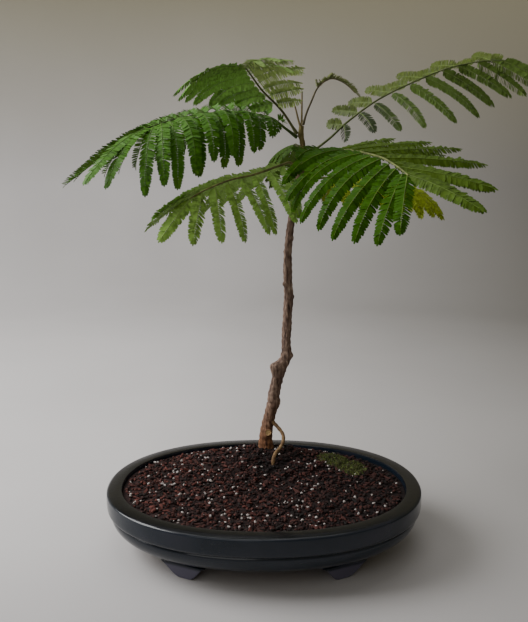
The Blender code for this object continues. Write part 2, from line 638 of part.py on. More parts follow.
def frond(name, spec, parts, green):
    """A stalk with its pairs of pinnae, fused into one body."""
    young = name == "frond_young"
    route = even_line(spec["route"], STALK_POINTS - 1)
    taper = [STALK_RADIUS[0] + (STALK_RADIUS[1] - STALK_RADIUS[0]) * k / (STALK_POINTS - 1)
             for k in range(STALK_POINTS)]
    stalk = tube(name, route, taper, 0, parts, green)
    reach = YOUNG_LEAFLET_REACH if young else LEAFLET_REACH
    blades = [pinna(f"{name}_pinna_{i}", length, frames, reach, parts)
              for i, (length, frames) in enumerate(pinna_frames(spec))]
    fuse(stalk, blades)


def centre_on_origin(parts):
    """Moves every piece and cutter so that the origin is under the middle of the whole, to the millimetre."""
    graph = bpy.context.evaluated_depsgraph_get()
    corners = []
    for thing in parts.objects:
        corners += [thing.matrix_world @ v.co for v in thing.evaluated_get(graph).data.vertices]
    middle = [(min(c[k] for c in corners) + max(c[k] for c in corners)) / 2 for k in (0, 1)]
    shift = Vector((round(-middle[0], 3), round(-middle[1], 3), 0))
    for thing in bpy.data.objects:
        thing.location = thing.location + shift


def main():
    clear_scene()
    parts = bpy.data.collections.new("royal_poinciana_bonsai")
    cutters = bpy.data.collections.new("cutters")
    for group in (parts, cutters):
        bpy.context.scene.collection.children.link(group)
    pot(parts, cutters, material("glaze", (38, 46, 52), 0.15))
    plastic = material("mesh_plastic", (30, 30, 32), 0.5)
    screen("drain_screen_left", -1, parts, plastic)
    screen("drain_screen_right", 1, parts, plastic)
    soil(parts, cutters, material("soil", (46, 30, 25), 0.9))
    moss(parts, material("moss", (62, 64, 34), 0.95))
    trunk(parts, material("bark", (84, 68, 52), 0.85))
    green = material("leaf", (62, 84, 30), 0.55)
    for name, spec in FRONDS.items():
        frond(name, spec, parts, green)
    centre_on_origin(parts)


main()
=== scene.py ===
"""The looks of a royal poinciana bonsai: fine fronds, bark, glazed pot, soil grains and moss.

Every piece is drawn in the frame whose origin is the pot's centre on the table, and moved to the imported
model's place when its mesh is made. The driving sizes are those of the part, in metres.
"""

import math
import random

import bpy
from mathutils import Matrix, Vector, noise


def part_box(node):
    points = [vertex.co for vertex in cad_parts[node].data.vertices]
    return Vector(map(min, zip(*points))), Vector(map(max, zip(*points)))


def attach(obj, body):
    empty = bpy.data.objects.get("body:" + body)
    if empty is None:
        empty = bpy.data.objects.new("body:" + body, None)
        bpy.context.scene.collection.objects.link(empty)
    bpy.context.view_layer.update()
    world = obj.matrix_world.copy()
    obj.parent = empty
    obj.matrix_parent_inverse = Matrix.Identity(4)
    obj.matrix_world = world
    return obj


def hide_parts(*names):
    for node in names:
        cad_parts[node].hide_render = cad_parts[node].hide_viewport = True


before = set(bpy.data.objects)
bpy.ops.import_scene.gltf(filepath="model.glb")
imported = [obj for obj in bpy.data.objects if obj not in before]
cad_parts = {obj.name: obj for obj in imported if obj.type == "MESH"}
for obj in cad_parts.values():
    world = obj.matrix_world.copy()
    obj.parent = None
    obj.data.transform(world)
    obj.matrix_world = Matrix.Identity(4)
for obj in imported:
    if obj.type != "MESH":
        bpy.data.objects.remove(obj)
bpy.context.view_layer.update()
POT_LOW, POT_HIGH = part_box("pot")
POT_PLACE = Vector(((POT_LOW.x + POT_HIGH.x) / 2, (POT_LOW.y + POT_HIGH.y) / 2, 0))
UP = Vector((0, 0, 1))

# Camera, in the pot's frame
CAMERA_PLACE = Vector((0, -0.66, 0.35))
CAMERA_PITCH = math.radians(10.2)
CAMERA_LENS = 40.5
CAMERA_SENSOR = 36

# Pot
POT_HALF_LENGTH = 0.155
POT_HALF_WIDTH = 0.118
POT_HEIGHT = 0.058
PLAN_POWER = 2.15
POT_SIDES = 192
BASE_Z = 0.012
FLOOR_Z = 0.0205
DRAIN_RADIUS = 0.008
DRAIN_X = 0.05
CLAY_TOP_Z = 0.0143  # the foot ring is bare clay below this
POT_OUTSIDE = [
    (0.0025, POT_HEIGHT), (0.0006, 0.057), (0, 0.055), (0, 0.0435), (0.0016, 0.0402),
    (0.0046, 0.039), (0.0034, 0.0364), (0.0045, 0.031), (0.0076, 0.0258), (0.014, 0.0206),
    (0.0246, 0.0163), (0.0256, 0.0146), (0.0284, 0.0138), (0.0286, BASE_Z),
]
POT_INSIDE = [
    (0.0128, POT_HEIGHT), (0.0148, 0.057), (0.0153, 0.048), (0.015, 0.036), (0.02, 0.0265),
    (0.03, 0.0215), (0.036, FLOOR_Z),
]
FOOT_X = 0.069
FOOT_Y = 0.0745
FOOT_DEPTH = 0.015
FOOT_TURN = math.radians(24)
FOOT_ROUNDING = 0.0014
FOOT_OUTLINE = [
    (-0.021, 0.014), (-0.0165, 0.011), (-0.0125, 0.006), (-0.009, 0.002), (-0.005, 0),
    (0.0045, 0), (0.0095, 0.0014), (0.0145, 0.0048), (0.019, 0.0088), (0.024, 0.0122),
    (0.025, 0.014),
]

# Soil. Its wall under the surface: (inset, height)
SOIL_WALL = [(0.0302, 0.0222), (0.0205, 0.027), (0.0155, 0.0362), (0.0156, 0.048)]
SOIL_EDGE_Z = 0.054
SOIL_TILT = 0.0014
MOUND_HEIGHT = 0.012
MOUND_SPREAD = (0.055, 0.035)
SOIL_RELIEF = 0.0007
SOIL_GAP = 0.0002
SOIL_SIDES = 160
SOIL_RINGS = 46
GRAINS = 5200
GRAIN_SIZES = (0.001, 0.0023)
CHIPS = 520
CHIP_SIZES = (0.0026, 0.0046)
PERLITE = 300
PERLITE_SIZES = (0.0007, 0.0017)
PERLITE_FADE = 0.8  # the chance that a white grain is missing at the right end
STREWN_REACH = 0.975  # how far out stones lie, as a share of the way to the pot's wall
STREWN_CLEARANCE = 0.0082  # how far stones stay from the trunk's axis
# Centre and radius of a darker patch of soil in front of the trunk's foot
DARK_PATCH_CENTRE = Vector((0.006, 0.045, 0.062))
DARK_PATCH_RADIUS = 0.03

# Moss mat
MOSS_CENTRE = Vector((0.084, 0.047))
MOSS_MEAN_RADIUS = 0.0215
MOSS_WAIST = 0.0095
MOSS_WAVE = 0.0012
MOSS_THICK = 0.003
MOSS_TURN = math.radians(45)
MOSS_BED_Z = 0.0531
MOSS_SIDES = 96
MOSS_RINGS = 24
MOSS_SHOOTS = 5200
SHOOT_HEIGHTS = (0.0011, 0.0032)
SHOOT_WIDTHS = (0.00035, 0.0007)

# Trunk
# Each point of the trunk's middle, and the radius there
TRUNK_ROUTE = [
    (0.002, 0.0755, 0.036, 0.008), (0.002, 0.0755, 0.05, 0.0086), (0.002, 0.0755, 0.064, 0.0086),
    (0.0022, 0.0755, 0.073, 0.0074), (0.003, 0.0752, 0.085, 0.0067), (0.0068, 0.0745, 0.103, 0.0063),
    (0.0098, 0.0738, 0.116, 0.0066), (0.0104, 0.0735, 0.125, 0.0063), (0.0138, 0.0735, 0.142, 0.006),
    (0.0172, 0.0742, 0.1545, 0.0068), (0.0225, 0.076, 0.164, 0.006), (0.0243, 0.0775, 0.172, 0.0054),
    (0.0242, 0.0785, 0.183, 0.0049), (0.0248, 0.0792, 0.198, 0.0051), (0.0254, 0.0795, 0.215, 0.0048),
    (0.0262, 0.0792, 0.232, 0.005), (0.0255, 0.0786, 0.246, 0.0046), (0.025, 0.078, 0.262, 0.0047),
    (0.0254, 0.0775, 0.28, 0.0041), (0.0268, 0.077, 0.298, 0.004), (0.029, 0.0764, 0.316, 0.0038),
    (0.0322, 0.0756, 0.335, 0.0037), (0.0358, 0.0748, 0.354, 0.0036), (0.039, 0.0742, 0.372, 0.0033),
    (0.04, 0.0736, 0.387, 0.0028), (0.0382, 0.0724, 0.399, 0.0025), (0.038, 0.0716, 0.409, 0.0022),
]
TRUNK_RINGS = 520
TRUNK_SIDES = 40
# Swellings left by old leaves: (centre, radius)
KNOBS = [
    ((0.0122, 0.0725, 0.156), 0.0062), ((0.013, 0.0715, 0.117), 0.005),
    ((0.0275, 0.0765, 0.169), 0.0042), ((0.0282, 0.077, 0.232), 0.0034),
    ((0.0225, 0.0765, 0.247), 0.003), ((0.0285, 0.0745, 0.296), 0.0028),
]
# How wide and how high the scars of old leaves and the cushions under the stalks swell
LEAF_SCARS = 26
LEAF_SCAR_REACH = 0.0019
LEAF_SCAR_RISE = (0.0003, 0.0008)
CUSHION_REACH = 0.0032
CUSHION_RISE = 0.0009
SCAR_CENTRE = Vector((0.0045, 0.069, 0.084))
SCAR_RADIUS = 0.0036
SCAR_SIDES = 32
# The cut branch's rim and face: (depth, share of the radius)
SCAR_PROFILE = [(-0.006, 1.35), (-0.0012, 1.1), (0, 1.08), (0.0005, 0.98), (0.0005, 0.84),
                (-0.0002, 0.74)]
AIR_ROOT = [
    (0.0085, 0.072, 0.096), (0.015, 0.068, 0.0905), (0.0205, 0.063, 0.084), (0.0205, 0.058, 0.0775),
    (0.017, 0.053, 0.072), (0.0125, 0.046, 0.0695), (0.01, 0.0405, 0.065), (0.01, 0.039, 0.058),
    (0.01, 0.039, 0.048),
]
AIR_ROOT_RADIUS = 0.0019
AIR_ROOT_STEPS = 90
SHOOT_STEPS = 24
YOUNG_SHOOTS = [
    [(0.038, 0.0716, 0.405), (0.035, 0.0745, 0.415), (0.0325, 0.0758, 0.425), (0.0303, 0.0762, 0.432)],
    [(0.038, 0.0716, 0.405), (0.0384, 0.076, 0.416), (0.0385, 0.0774, 0.43), (0.0386, 0.078, 0.442)],
]

# Fronds. route: the stalk from the trunk to its tip. bare: the share of it with no side stalks (pinnae).
# Angles are in degrees, and where there are several they stand evenly from the first pair of pinnae to the
# last. left and right, looking outwards: between stalk and pinna. droop: how far a pinna bends down along
# its length. roof: both sides tilted down. roll: the right side down and the left up. length: a pinna's.
# turn: how far the blades turn about their own ribs, clockwise looking outwards, left and right.
FRONDS = {
    "frond_upper_left": dict(route=[
        (0.032, 0.068, 0.403), (0.017, 0.048, 0.422), (-0.001, 0.026, 0.437), (-0.011, 0.002, 0.447),
        (-0.016, -0.026, 0.45)], bare=0.36, pairs=9, left=(98, 57, 24), right=(84, 83, 41),
        left_droop=(5, 38, 30), right_droop=(15, 65, 57), roof=(-5, -13, -9), roll=(5, 3, 4), turn=(-30, 30),
        length=(0.028, 0.061, 0.078)),
    "frond_left": dict(route=[
        (0.032, 0.072, 0.399), (0.021, 0.071, 0.407), (0.006, 0.071, 0.417), (-0.024, 0.066, 0.422),
        (-0.049, 0.062, 0.421), (-0.082, 0.043, 0.414), (-0.113, 0.011, 0.401)], bare=0.13, pairs=15,
        left=(92, 99, 73, 12), right=(76, 92, 54), left_droop=(112, 112, 112, 26), right_droop=(105, 105, 6),
        roof=(-32, -14, 12), roll=(-25, -3, 10), turn=(0, 0), length=(0.012, 0.076, 0.078, 0.084, 0.096)),
    "frond_lower_left": dict(route=[
        (0.034, 0.066, 0.365), (0.026, 0.056, 0.372), (0.016, 0.04, 0.369), (-0.008, 0.005, 0.36),
        (-0.031, -0.033, 0.354), (-0.051, -0.067, 0.345), (-0.061, -0.076, 0.339)], bare=0.16, pairs=8,
        left=(54, 86, 16), right=(84, 56, 16), left_droop=(17, 22, 8), right_droop=(45, 55, 16),
        roof=(23, 31), roll=(-13, -38), turn=(16, 45), length=(0.066, 0.055, 0.045)),
    "frond_upper_right": dict(route=[
        (0.042, 0.079, 0.378), (0.07, 0.109, 0.399), (0.09, 0.124, 0.417), (0.126, 0.151, 0.443),
        (0.169, 0.171, 0.465), (0.213, 0.187, 0.483), (0.251, 0.188, 0.491), (0.276, 0.181, 0.491)],
        bare=0.24, pairs=11, left=(85, 80, 112), right=(130, 43, 23), left_droop=(11, 0, 5),
        right_droop=(28, 30, 5), roof=(-5, 30, 45), roll=(6, 32, 62), turn=(-50, 10),
        length=(0.027, 0.078, 0.062)),
    "frond_lower_right": dict(route=[
        (0.041, 0.066, 0.37), (0.054, 0.032, 0.379), (0.073, -0.013, 0.381), (0.092, -0.08, 0.373),
        (0.1, -0.115, 0.365), (0.104, -0.146, 0.357)], bare=0.12, pairs=12, left=(45, 87, 30),
        right=(40, 110, 22), left_droop=(6, 8, 15), right_droop=(30, 64, 12), roof=(-14, 22), roll=(-2, 18),
        turn=(30, -35), length=(0.058, 0.083, 0.066)),
    "frond_back_right": dict(route=[
        (0.038, 0.08, 0.355), (0.071, 0.103, 0.358), (0.11, 0.119, 0.358), (0.15, 0.137, 0.352),
        (0.167, 0.144, 0.347)], bare=0.3, pairs=7, left=(78, 65, 31), right=(78, 65, 31),
        left_droop=(52, 49, 40), right_droop=(52, 49, 40), roof=(20, 13), roll=(7, 2), turn=(0, 40),
        length=(0.042, 0.047, 0.05)),
    "frond_back": dict(route=[
        (0.037, 0.079, 0.382), (0.035, 0.1, 0.391), (0.033, 0.122, 0.393), (0.03, 0.146, 0.388),
        (0.028, 0.165, 0.381)], bare=0.26, pairs=8, left=(88, 65, 26), right=(88, 65, 26),
        left_droop=(50, 55, 40), right_droop=(50, 55, 40), roof=(12, 13), roll=(0, 0), turn=(0, 0),
        length=(0.03, 0.044, 0.046)),
    "frond_young": dict(route=[
        (0.04, 0.0695, 0.412), (0.043, 0.067, 0.422), (0.048, 0.063, 0.434), (0.052, 0.058, 0.443),
        (0.058, 0.054, 0.449), (0.066, 0.05, 0.452), (0.075, 0.047, 0.449), (0.082, 0.045, 0.444),
        (0.088, 0.044, 0.438)], bare=0.45, pairs=5, left=(40, 30, 18), right=(40, 30, 18),
        left_droop=(20, 20, 20), right_droop=(20, 20, 20), roof=(-45, -45), roll=(0, 0), turn=(0, 0),
        length=(0.009, 0.009, 0.007)),
}
CROWDING = 1.2  # above 1, the pinnae stand closer towards the tip
ROUTE_STEPS = 120
PINNA_STEPS = 24
STALK_STEPS = 90
RIB_STEPS = 20
WOBBLE = math.radians(3)
LAYERING = math.radians(3)  # every second pair lies a little lower
STALK_RADIUS = (0.0014, 0.0006)
STALK_KNEE = 0.0019  # the stalk swells to this where it leaves the trunk
STALK_SUNK = 0.0022  # how far the stalk reaches into the trunk
RIB_RADIUS = (0.00048, 0.00024)
BARE_FOOT = 0.0026  # a pinna's length before its first leaflets
LEAFLET_SPACING = 0.0022
LEAFLET_LENGTH = 0.0078
LEAFLET_WIDTH = 0.0027
LEAFLET_THICK = 0.00022
LEAFLET_CREASE = 0.1  # how deep the midrib lies, as a share of the width
LEAFLET_BOW = 0.12  # how far the tip bends down, as a share of the length
LEAFLET_LEAN = math.radians(20)
LEAFLET_TIP_LEAN = math.radians(44)  # this much more at the pinna's tip
FIRST_LEAFLETS = (0.72, 0.9)  # the sizes of the first two pairs, as shares
# Half widths along a leaflet, as shares of its length and of its half width
LEAFLET_OUTLINE = [(0.04, 0.75), (0.28, 1), (0.7, 0.97), (0.94, 0.62)]
YOUNG_SPACING = 0.001
YOUNG_THINNESS = 0.8
# The young frond's comb: where it starts, as a share of the stalk, and its leaflets
BRISTLES_FROM = 0.46
BRISTLE_TURNS = (-70, -35, 0, 35, 70)
BRISTLE_LENGTH = 0.005
BRISTLE_WIDTH = 0.0007
# How each frond's leaflets look: their size as a share of the full one. Then, for the pinnae to the left and
# right of the stalk, the degrees that both rows fold down, and how far the faces of the row nearer the
# stalk's base and of the other row turn to the sky. Then the display colours of tops, undersides and stalk,
# each frond's partly its own tone and partly painted light and shade for how light falls on it
LEAFLETS = {
    "frond_upper_left": (0.86, (22, 0.4, 0.4), (12, 0.1, 0.1), (88, 138, 50), (112, 152, 68), (90, 92, 56)),
    "frond_left": (1.04, (4, 0.15, 0.05), (-42, 0.1, 0.1), (62, 102, 22), (74, 106, 32), (56, 72, 30)),
    "frond_lower_left": (
        0.94, (6, 0.35, 0.05), (-10, 0.1, 0.1), (118, 152, 66), (130, 162, 82), (104, 104, 58)),
    "frond_upper_right": (
        0.92, (-18, 0.1, 0.1), (4, 0.85, 0.12), (80, 102, 42), (104, 126, 62), (82, 92, 52)),
    "frond_lower_right": (0.96, (10, 0.1, 0.4), (8, 0.05, 0.35), (44, 76, 6), (70, 98, 18), (106, 112, 66)),
    "frond_back_right": (
        1.05, (12, 0.2, 0.2), (12, 0.2, 0.2), (126, 142, 34), (134, 148, 48), (106, 114, 48)),
    "frond_back": (1.05, (12, 0.2, 0.2), (12, 0.2, 0.2), (58, 88, 16), (74, 100, 28), (66, 68, 36)),
    "frond_young": (0.3, (-55, 0.2, 0.2), (-55, 0.2, 0.2), (98, 106, 58), (112, 120, 74), (92, 84, 62)),
}
# Tops and undersides of the leaflets left of the stalk, where their colours differ from the right side's by
# painted light and shade
LEFT_SIDE_COLOURS = {
    "frond_upper_left": ((100, 126, 54), (132, 150, 82)),
    "frond_upper_right": ((64, 76, 26), (74, 87, 38)),
    "frond_lower_right": ((66, 86, 28), (96, 110, 48)),
}
# Painted shade: the upper right frond's near pinnae are darkened over this width, around this place, towards
# the trunk
SHADED_X = 0.146
SHADED_WIDTH = 0.05
SHADED_TINT = 0.5

# Backdrop and light
FLOOR_RADIUS = 1.3
FLOOR_BEND = 0.7
WALL_TOP = 1.9
BACKDROP_SIDES = 96
BEND_STEPS = 12
# Name, place, size and power
LIGHTS = [("light_left", (-1.5, 0.1, 1.3), 1.2, 46), ("light_top", (-0.2, 0.2, 1.8), 1.4, 9),
          ("light_front", (-0.6, -1.3, 1.1), 1.0, 4)]
AIR_COLOUR = (0.8, 0.79, 0.8, 1)
AIR_STRENGTH = 0.34


def linear(channel):
    c = channel / 255
    return c / 12.92 if c <= 0.04045 else ((c + 0.055) / 1.055) ** 2.4


def shade(colour):
    """A display colour as the linear RGBA that nodes take."""
    return (*(linear(c) for c in colour), 1)


def tinted(colour, factor):
    return tuple(min(255, c * factor) for c in colour)


class Material:
    """One procedural material, with short calls for the nodes that it needs."""

    def __init__(self, name, roughness, specular=0.5, **values):
        self.made = bpy.data.materials.new(name)
        self.made.use_nodes = True
        self.tree = self.made.node_tree
        self.shader = self.tree.nodes["Principled BSDF"]
        self.fill(self.shader, Roughness=roughness, Specular_IOR_Level=specular, **values)
        self.place = self.node("TexCoord").outputs["Object"]

    def fill(self, node, **values):
        for socket, value in values.items():
            node.inputs[socket.replace("_", " ")].default_value = value

    def node(self, kind, **values):
        node = self.tree.nodes.new("ShaderNode" + kind)
        self.fill(node, **values)
        return node

    def link(self, output, socket):
        self.tree.links.new(output, socket)

    def noise(self, scale, detail, stretch=(1, 1, 1), distortion=0.0):
        """Noise from about 0 to 1, with scale waves a metre along each axis times its stretch."""
        mapping = self.node("Mapping", Scale=stretch)
        self.link(self.place, mapping.inputs["Vector"])
        node = self.node("TexNoise", Scale=scale, Detail=detail, Distortion=distortion)
        self.link(mapping.outputs["Vector"], node.inputs["Vector"])
        return node.outputs["Fac"]

    def cells(self, scale):
        """The distance from the middle of the nearest random cell."""
        node = self.node("TexVoronoi", Scale=scale)
        self.link(self.place, node.inputs["Vector"])
        return node.outputs["Distance"]

    def along(self, axis):
        """The place along one axis, in metres."""
        node = self.node("SeparateXYZ")
        self.link(self.place, node.inputs["Vector"])
        return node.outputs[axis]

    def range(self, value, low, high, out_low=0.0, out_high=1.0):
        node = self.node("MapRange", From_Min=low, From_Max=high, To_Min=out_low, To_Max=out_high)
        self.link(value, node.inputs["Value"])
        return node.outputs["Result"]

    def ramp(self, factor, *stops):
        """Colours at positions from 0 to 1."""
        node = self.node("ValToRGB")
        points = node.color_ramp.elements
        while len(points) < len(stops):
            points.new(0.5)
        for point, (position, colour) in zip(points, stops):
            point.position = position
            point.color = shade(colour)
        self.link(factor, node.inputs["Fac"])
        return node.outputs["Color"]

    def mix(self, factor, first, second):
        """From the first colour, or colour output, to the second as the factor goes from 0 to 1."""
        node = self.node("Mix")
        node.data_type = "RGBA"
        self.link(factor, node.inputs["Factor"])
        for socket, value in (("A", first), ("B", second)):
            target = [s for s in node.inputs if s.name == socket and s.type == "RGBA"][0]
            if isinstance(value, tuple):
                target.default_value = shade(value)
            else:
                self.link(value, target)
        return [s for s in node.outputs if s.type == "RGBA"][0]

    def colour(self, output):
        self.link(output, self.shader.inputs["Base Color"])

    def bump(self, height, distance, strength=1.0):
        node = self.node("Bump", Strength=strength, Distance=distance)
        self.link(height, node.inputs["Height"])
        self.link(node.outputs["Normal"], self.shader.inputs["Normal"])


def leaf_material(name, colour, roughness=0.5, gloss=0.12, shaded=None):
    """A leaf surface: mottled from leaflet to leaflet, in broad patches, and with painted shade left of
    shaded, in X.
    """
    leaf = Material(name, roughness, gloss)
    fine = leaf.ramp(leaf.noise(330, 2), (0.34, tinted(colour, 0.78)), (0.66, tinted(colour, 1.2)))
    broad = leaf.range(leaf.noise(26, 2), 0.35, 0.65)
    mottled = leaf.mix(broad, fine, tinted(colour, 1.1))
    if shaded is not None:
        left = leaf.range(leaf.along("X"), shaded - SHADED_WIDTH / 2, shaded + SHADED_WIDTH / 2, 1.0, 0.0)
        mottled = leaf.mix(left, mottled, tinted(colour, SHADED_TINT))
    leaf.colour(mottled)
    leaf.bump(leaf.noise(1600, 2), 0.00012, 0.5)
    return leaf.made


def leaf_pair(name, colours, gloss, shaded=None):
    """The leaflets' tops and their duller undersides."""
    return [leaf_material(name + side, colour, roughness, gloss, shaded)
            for side, colour, roughness in zip(("_top", "_under"), colours, (0.46, 0.62))]


def mottled_material(name, dark, light, roughness, specular, mottling, bumps, depth, strength=0.7, sheen=0.0):
    """A surface mottled from dark to light. mottling and bumps: each a noise's scale, detail and stretch."""
    surface = Material(name, roughness, specular, Sheen_Weight=sheen)
    surface.colour(surface.ramp(surface.noise(*mottling), (0.3, dark), (0.7, light)))
    surface.bump(surface.noise(*bumps), depth, strength)
    return surface.made


def stalk_material(name, colour):
    return mottled_material(name, tinted(colour, 0.78), tinted(colour, 1.15), 0.6, 0.15, (160, 3), (900, 2),
                            0.0001, 0.6)


def bark_material():
    """Grey-brown bark with fissures and pale flecks, orange-brown at the foot and greener at the top."""
    bark = Material("bark", 0.86, 0.25)
    grain = bark.noise(420, 6, (1, 1, 0.22), 0.4)
    body = bark.ramp(grain, (0.28, (53, 39, 33)), (0.47, (106, 85, 74)), (0.62, (140, 118, 102)),
                     (0.78, (174, 156, 140)))
    foot = bark.ramp(grain, (0.3, (60, 38, 26)), (0.55, (120, 82, 56)), (0.75, (158, 118, 86)))
    young = bark.ramp(grain, (0.3, (66, 58, 30)), (0.55, (102, 92, 52)), (0.75, (136, 120, 76)))
    height = bark.along("Z")
    low = bark.mix(bark.range(height, 0.075, 0.125), foot, body)
    bark.colour(bark.mix(bark.range(height, 0.345, 0.395), low, young))
    bark.bump(bark.noise(700, 6, (1, 1, 0.3), 0.3), 0.0007, 0.8)
    return bark.made


def glaze_material():
    """Glossy dark blue glaze with violet-grey clouds and specks, painted shade on the lip and painted light
    on the feet.
    """
    glaze = Material("glaze", 0.14, IOR=1.42)
    clouds = glaze.ramp(glaze.noise(17, 4, (1, 1, 1.6), 0.6), (0.36, (15, 25, 35)), (0.52, (23, 31, 41)),
                        (0.68, (33, 36, 47)))
    specks = glaze.range(glaze.cells(520), 0.0, 0.25, 1.0, 0.0)
    speckled = glaze.mix(specks, clouds, (28, 30, 36))
    # Painted shade: the lip's top is made near black to dim the reflection on it
    lip_top_shade = glaze.range(glaze.along("Z"), 0.0565, 0.058)
    # Painted light: the feet's glaze is made pale grey-violet where they stand in shadow
    feet = glaze.range(glaze.along("Z"), 0.01, 0.0125, 1.0, 0.0)
    glaze.colour(glaze.mix(feet, glaze.mix(lip_top_shade, speckled, (19, 20, 22)), (84, 82, 98)))
    glaze.link(glaze.range(glaze.noise(60, 4), 0.35, 0.7, 0.1, 0.24), glaze.shader.inputs["Roughness"])
    glaze.bump(glaze.noise(190, 3), 0.00025, 0.35)
    return glaze.made


def earth_material(name, dark, light, roughness=0.92):
    """Crumbs of earth or bark: mottled, with painted shade darkening them to the right, and darkest in a
    patch in front of the trunk's foot.
    """
    earth = Material(name, roughness, 0.25)
    crumbs = earth.ramp(earth.noise(240, 4), (0.3, dark), (0.7, light))
    # How far a place lies from the middle of a darker patch of soil in front of the trunk's foot
    spread = earth.node("Mapping", Location=POT_PLACE + DARK_PATCH_CENTRE, Scale=[DARK_PATCH_RADIUS] * 3)
    spread.vector_type = "TEXTURE"
    earth.link(earth.place, spread.inputs["Vector"])
    distance = earth.node("VectorMath")
    distance.operation = "LENGTH"
    earth.link(spread.outputs["Vector"], distance.inputs[0])
    dark_patch = earth.range(distance.outputs["Value"], 0.5, 1.4, 0.65, 0.0)
    # Painted shade: the crumbs grow darker towards the pot's right end
    right_shade = earth.range(earth.along("X"), POT_PLACE.x - 0.1, POT_PLACE.x + 0.1, 0.0, 0.62)
    right_shaded = earth.mix(right_shade, crumbs, tinted(dark, 0.45))
    earth.colour(earth.mix(dark_patch, right_shaded, tinted(dark, 0.3)))
    earth.bump(earth.noise(900, 4), 0.0005, 0.8)
    return earth.made


def placed(name, data):
    """A new object in the scene."""
    thing = bpy.data.objects.new(name, data)
    bpy.context.scene.collection.objects.link(thing)
    return thing


def finished_mesh(thing):
    """The mesh that an object's curve or modifiers give."""
    bpy.context.view_layer.update()
    graph = bpy.context.evaluated_depsgraph_get()
    return bpy.data.meshes.new_from_object(thing.evaluated_get(graph), depsgraph=graph)


def circle(sides):
    """Evenly spaced angles all the way round."""
    return [2 * math.pi * k / sides for k in range(sides)]


def band(start, sides):
    """The faces between a ring of points and the next ring."""
    return [(start + k, start + j, start + sides + j, start + sides + k)
            for k, j in ((k, (k + 1) % sides) for k in range(sides))]


class Shape:
    """The points and faces of one mesh, gathered in the pot's frame."""

    def __init__(self):
        self.points = []
        self.faces = []
        self.slots = []

    def add(self, points, faces, slots):
        """Adds faces between the points, with a material slot for each face."""
        start = len(self.points)
        self.points.extend(points)
        self.faces.extend(tuple(start + i for i in face) for face in faces)
        self.slots.extend(slots)

    def loft(self, rings, slot_of=lambda ring: 0):
        """Joins rings of equally many points and closes both ends with a fan. slot_of: each band's slot."""
        start = len(self.points)
        sides = len(rings[0])
        for ring in rings:
            self.points.extend(ring)
        for r in range(len(rings) - 1):
            self.faces.extend(band(start + r * sides, sides))
            self.slots.extend([slot_of(r)] * sides)
        for r, turn in ((0, -1), (len(rings) - 1, 1)):
            middle = sum(rings[r], Vector((0, 0, 0))) / sides
            self.points.append(middle)
            centre, first = len(self.points) - 1, start + r * sides
            for k in range(sides):
                face = (first + k, first + (k + 1) % sides, centre)
                self.faces.append(face if turn > 0 else face[::-1])
                self.slots.append(slot_of(min(r, len(rings) - 2)))

    def tube(self, points, radii, sides, slot=0):
        """A round bar through points, with a radius at each."""
        self.loft(list(rings_along(points, radii, sides)), lambda ring: slot)

    def piece(self, name, materials, sharp):
        """The object, with edges sharper than sharp degrees left hard."""
        mesh = bpy.data.meshes.new(name)
        mesh.from_pydata([p + POT_PLACE for p in self.points], [], self.faces)
        mesh.polygons.foreach_set("material_index", self.slots)
        for material in materials:
            mesh.materials.append(material)
        mesh.shade_smooth()
        mesh.set_sharp_from_angle(angle=math.radians(sharp))
        mesh.update()
        thing = placed(name, mesh)
        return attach(thing, "root")


def turning_frames(points):
    """The directions along and across a line at each of its points, turning as little as possible."""
    aside = Vector((1, 0, 0))
    for i, place in enumerate(points):
        along = (points[min(i + 1, len(points) - 1)] - points[max(i - 1, 0)]).normalized()
        if abs(aside.dot(along)) > 0.95:
            aside = Vector((0, 1, 0))
        aside = (aside - along * aside.dot(along)).normalized()
        yield place, along, aside, along.cross(aside)


def rings_along(points, radii, sides):
    for (place, _, aside, other), radius in zip(turning_frames(points), radii):
        yield [place + (aside * math.cos(t) + other * math.sin(t)) * radius for t in circle(sides)]


def even_line(control, steps):
    """Points evenly spaced along a smooth curve through the control points."""
    pts = [Vector(p) for p in control]
    pts = [2 * pts[0] - pts[1], *pts, 2 * pts[-1] - pts[-2]]
    fine = []
    for a, b, c, d in zip(pts, pts[1:], pts[2:], pts[3:]):
        for k in range(30):
            t = k / 30
            fine.append(0.5 * (2 * b + (c - a) * t + (2 * a - 5 * b + 4 * c - d) * t**2
                               + (3 * b - a - 3 * c + d) * t**3))
    fine.append(pts[-2])
    run = [0.0]
    for a, b in zip(fine, fine[1:]):
        run.append(run[-1] + (b - a).length)
    out, k = [], 0
    for i in range(steps + 1):
        want = run[-1] * i / steps
        while k < len(fine) - 2 and run[k + 1] < want:
            k += 1
        out.append(fine[k].lerp(fine[k + 1], (want - run[k]) / (run[k + 1] - run[k])))
    return out


def oval(inset, z, sides=POT_SIDES):
    """Points round the pot's plan, moved in from the rim by inset."""
    points = []
    for t in circle(sides):
        x, y = (math.copysign(abs(v) ** (2 / PLAN_POWER), v) * (half - inset)
                for v, half in ((math.cos(t), POT_HALF_LENGTH), (math.sin(t), POT_HALF_WIDTH)))
        points.append(Vector((x, y, z)))
    return points


def plan_share(x, y):
    """How far out a place lies: 0 in the pot's middle, 1 at the inside of its wall."""
    inset = POT_INSIDE[2][0]
    return ((abs(x) / (POT_HALF_LENGTH - inset)) ** PLAN_POWER
            + (abs(y) / (POT_HALF_WIDTH - inset)) ** PLAN_POWER) ** (1 / PLAN_POWER)


